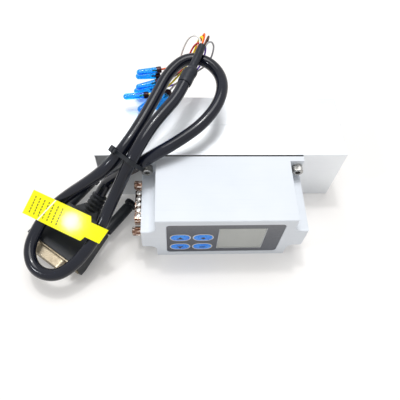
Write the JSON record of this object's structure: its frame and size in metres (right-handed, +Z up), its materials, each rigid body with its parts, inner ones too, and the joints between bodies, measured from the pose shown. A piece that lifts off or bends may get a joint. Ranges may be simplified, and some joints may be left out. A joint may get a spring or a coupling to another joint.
{
  "type": "thermal gas mass flow meter",
  "caption": "Gas mass flow meter with a square flow block, a display housing screwed to its front, and its detached signal lead laid across it.",
  "frame": {"origin": "middle of the meter's underside, halfway between the two ports and halfway between the display face and the back", "axes": "+X along the bore towards the outlet port, +Y from the display to the back, +Z up"},
  "size_m": [0.2062, 0.1445, 0.0813],
  "materials": {
    "light_aluminium": "satin anodised",
    "grey_film": "satin film",
    "clear_window": "clear film",
    "display_glass": "grey liquid crystal",
    "backlight": "white diffuser",
    "blue_key": "embossed film",
    "rubber": "matte",
    "steel": "plain",
    "nickel": "nickel plated",
    "black_plastic": "moulded",
    "gold_contact": "gold plated",
    "green_board": "solder mask",
    "black_chip": "moulded",
    "capacitor_can": "plain",
    "beige_polymer": "turned",
    "plain_aluminium": "turned",
    "silicon": "polished",
    "amber_flex": "flexible circuit",
    "cable_black": "glossy sheath",
    "sleeve_black": "shrunk",
    "yellow_label": "glossy label",
    "clear_blue_cap": "translucent",
    "core_orange": "insulated wire",
    "core_red": "insulated wire",
    "core_brown": "insulated wire",
    "core_purple": "insulated wire",
    "core_yellow": "insulated wire",
    "core_white": "insulated wire",
    "core_grey": "insulated wire"
  },
  "bodies": {
    "root": {"board_link": "black_plastic", "board_pillars": "nickel", "board_screws": "steel", "cable_tie": "black_plastic", "capacitors": "capacitor_can", "connector_insulator": "black_plastic", "connector_pins": "gold_contact", "connector_shell": "nickel", "core_brown": "core_brown", "core_caps": "clear_blue_cap", "core_grey": "core_grey", "core_orange": "core_orange", "core_purple": "core_purple", "core_red": "core_red", "core_white": "core_white", "core_yellow": "core_yellow", "display_backlight": "backlight", "display_board": "green_board", "display_frame": "black_plastic", "display_glass": "display_glass", "display_screws": "steel", "display_window": "clear_window", "flag_label": "yellow_label", "flow_block": "light_aluminium", "flow_screens": "steel", "flow_straighteners": "plain_aluminium", "front_overlay": "grey_film", "head_gasket": "rubber", "head_housing": "light_aluminium", "housing_screws": "steel", "jack_nuts": "nickel", "jack_screws": "nickel", "key_pads": "blue_key", "key_switches": "black_plastic", "large_sleeve": "sleeve_black", "lead_cable": "cable_black", "lead_connector_shell": "nickel", "lead_contact_carrier": "black_plastic", "lead_hood": "black_plastic", "lead_thumbscrews": "black_plastic", "main_board": "green_board", "processor_chip": "black_chip", "retaining_rings": "steel", "ribbon_socket": "black_plastic", "sensor_board": "green_board", "sensor_carrier": "beige_polymer", "sensor_chip": "silicon", "sensor_header": "black_plastic", "sensor_ribbon": "amber_flex", "sensor_screws": "steel", "sensor_seal": "rubber", "small_sleeve": "sleeve_black", "spacer_rings": "plain_aluminium", "spring_washers": "steel", "voltage_regulator": "black_chip"}
  },
  "joints": []
}
